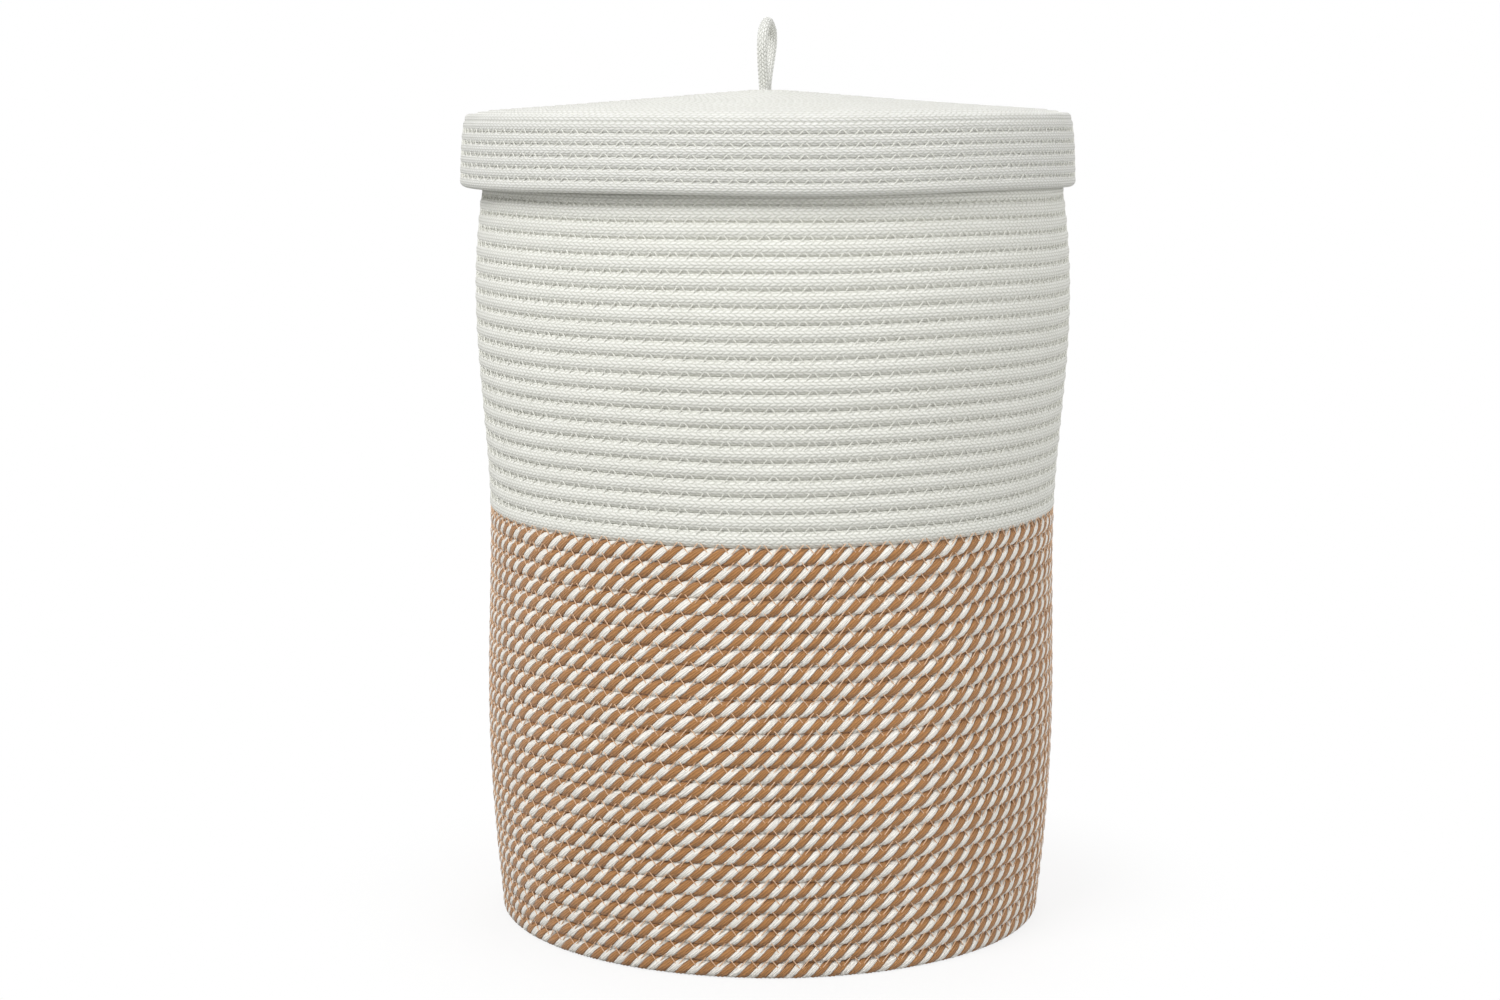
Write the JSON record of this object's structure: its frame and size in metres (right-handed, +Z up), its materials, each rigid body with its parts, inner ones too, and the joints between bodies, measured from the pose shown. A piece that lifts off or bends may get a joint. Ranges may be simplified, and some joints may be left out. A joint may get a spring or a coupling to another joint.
{
  "type": "laundry hamper with lid",
  "caption": "Round laundry hamper coiled from cotton rope, twisted below and braided above, with a lift-off rope lid that has a skirt and a cord loop.",
  "frame": {"origin": "on the floor under the middle of the round base", "axes": "+Z up along the basket's axis, +Y along the axis that the loop on the lid folds on, +X to the side that it folds to"},
  "size_m": [0.3968, 0.3968, 0.5856],
  "materials": {
    "twisted_rope": "two-colour twisted cotton rope, brown and off-white strands",
    "braided_rope": "off-white braided cotton rope, matt",
    "lid_rope": "thin off-white braided cotton rope, matt",
    "cord": "off-white braided cotton cord, matt",
    "tan_thread": "peach polyester sewing thread",
    "white_thread": "off-white polyester sewing thread"
  },
  "bodies": {
    "basket": {"base_rope": "twisted_rope", "lower_wall_rope": "twisted_rope", "upper_wall_rope": "braided_rope", "base_stitches": "tan_thread", "lower_wall_stitches": "tan_thread", "change_stitches": "white_thread", "upper_wall_stitches": "white_thread"},
    "lid": {"lid_top_rope": "lid_rope", "lid_skirt_rope": "lid_rope", "lid_top_stitches": "white_thread", "lid_skirt_stitches": "white_thread", "loop_ends": "cord", "loop_knot": "cord"},
    "loop": {"loop_handle": "cord"}
  },
  "joints": [
    {"name": "lid_lift", "type": "slide", "parent": "basket", "child": "lid", "axis": [0, 0, 1], "range_m": [0, 0.3]},
    {"name": "loop_fold", "type": "hinge", "parent": "lid", "child": "loop", "pos_m": [0, 0, 0.54213], "axis": [0, 1, 0], "range_deg": [-85, 85]}
  ]
}
